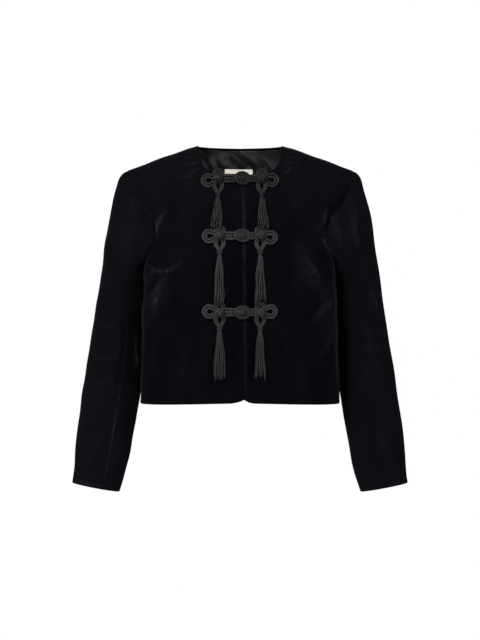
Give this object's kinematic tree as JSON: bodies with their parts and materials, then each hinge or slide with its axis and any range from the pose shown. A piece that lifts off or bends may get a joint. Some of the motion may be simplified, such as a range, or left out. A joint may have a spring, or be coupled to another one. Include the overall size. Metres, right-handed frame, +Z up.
{
  "type": "collarless cropped velvet jacket",
  "caption": "Cropped collarless jacket, filled out and hollow, with set-in sleeves, cord frog closures with ball knots, and hanging tassels.",
  "frame": {"origin": "midway between the two neck points, where the shoulder seams meet the neckline; the wearer's shoulders hold the jacket there", "axes": "+Z up along the wearer's trunk, +X towards the wearer's left, -Y out of the chest"},
  "size_m": [0.6402, 0.2485, 0.6564],
  "materials": {
    "velvet": "black cotton velvet with a short pile",
    "cord": "black braided cord",
    "lining": "black satin",
    "label": "bare cream woven strip"
  },
  "bodies": {
    "root": {"front_right": "velvet", "front_left": "velvet", "back": "velvet", "sleeve_top_right": "velvet", "sleeve_top_left": "velvet", "sleeve_under_right": "velvet", "sleeve_under_left": "velvet", "back_lining": "lining", "label": "label", "frog_top_right": "cord", "ball_top_right": "cord", "tassel_top_right": "cord", "frog_top_left": "cord", "ball_top_left": "cord", "tassel_top_left": "cord", "frog_mid_right": "cord", "ball_mid_right": "cord", "tassel_mid_right": "cord", "frog_mid_left": "cord", "ball_mid_left": "cord", "tassel_mid_left": "cord", "frog_low_right": "cord", "ball_low_right": "cord", "tassel_low_right": "cord", "frog_low_left": "cord", "ball_low_left": "cord", "tassel_low_left": "cord", "knot_top": "cord", "knot_mid": "cord", "knot_low": "cord"}
  },
  "joints": []
}
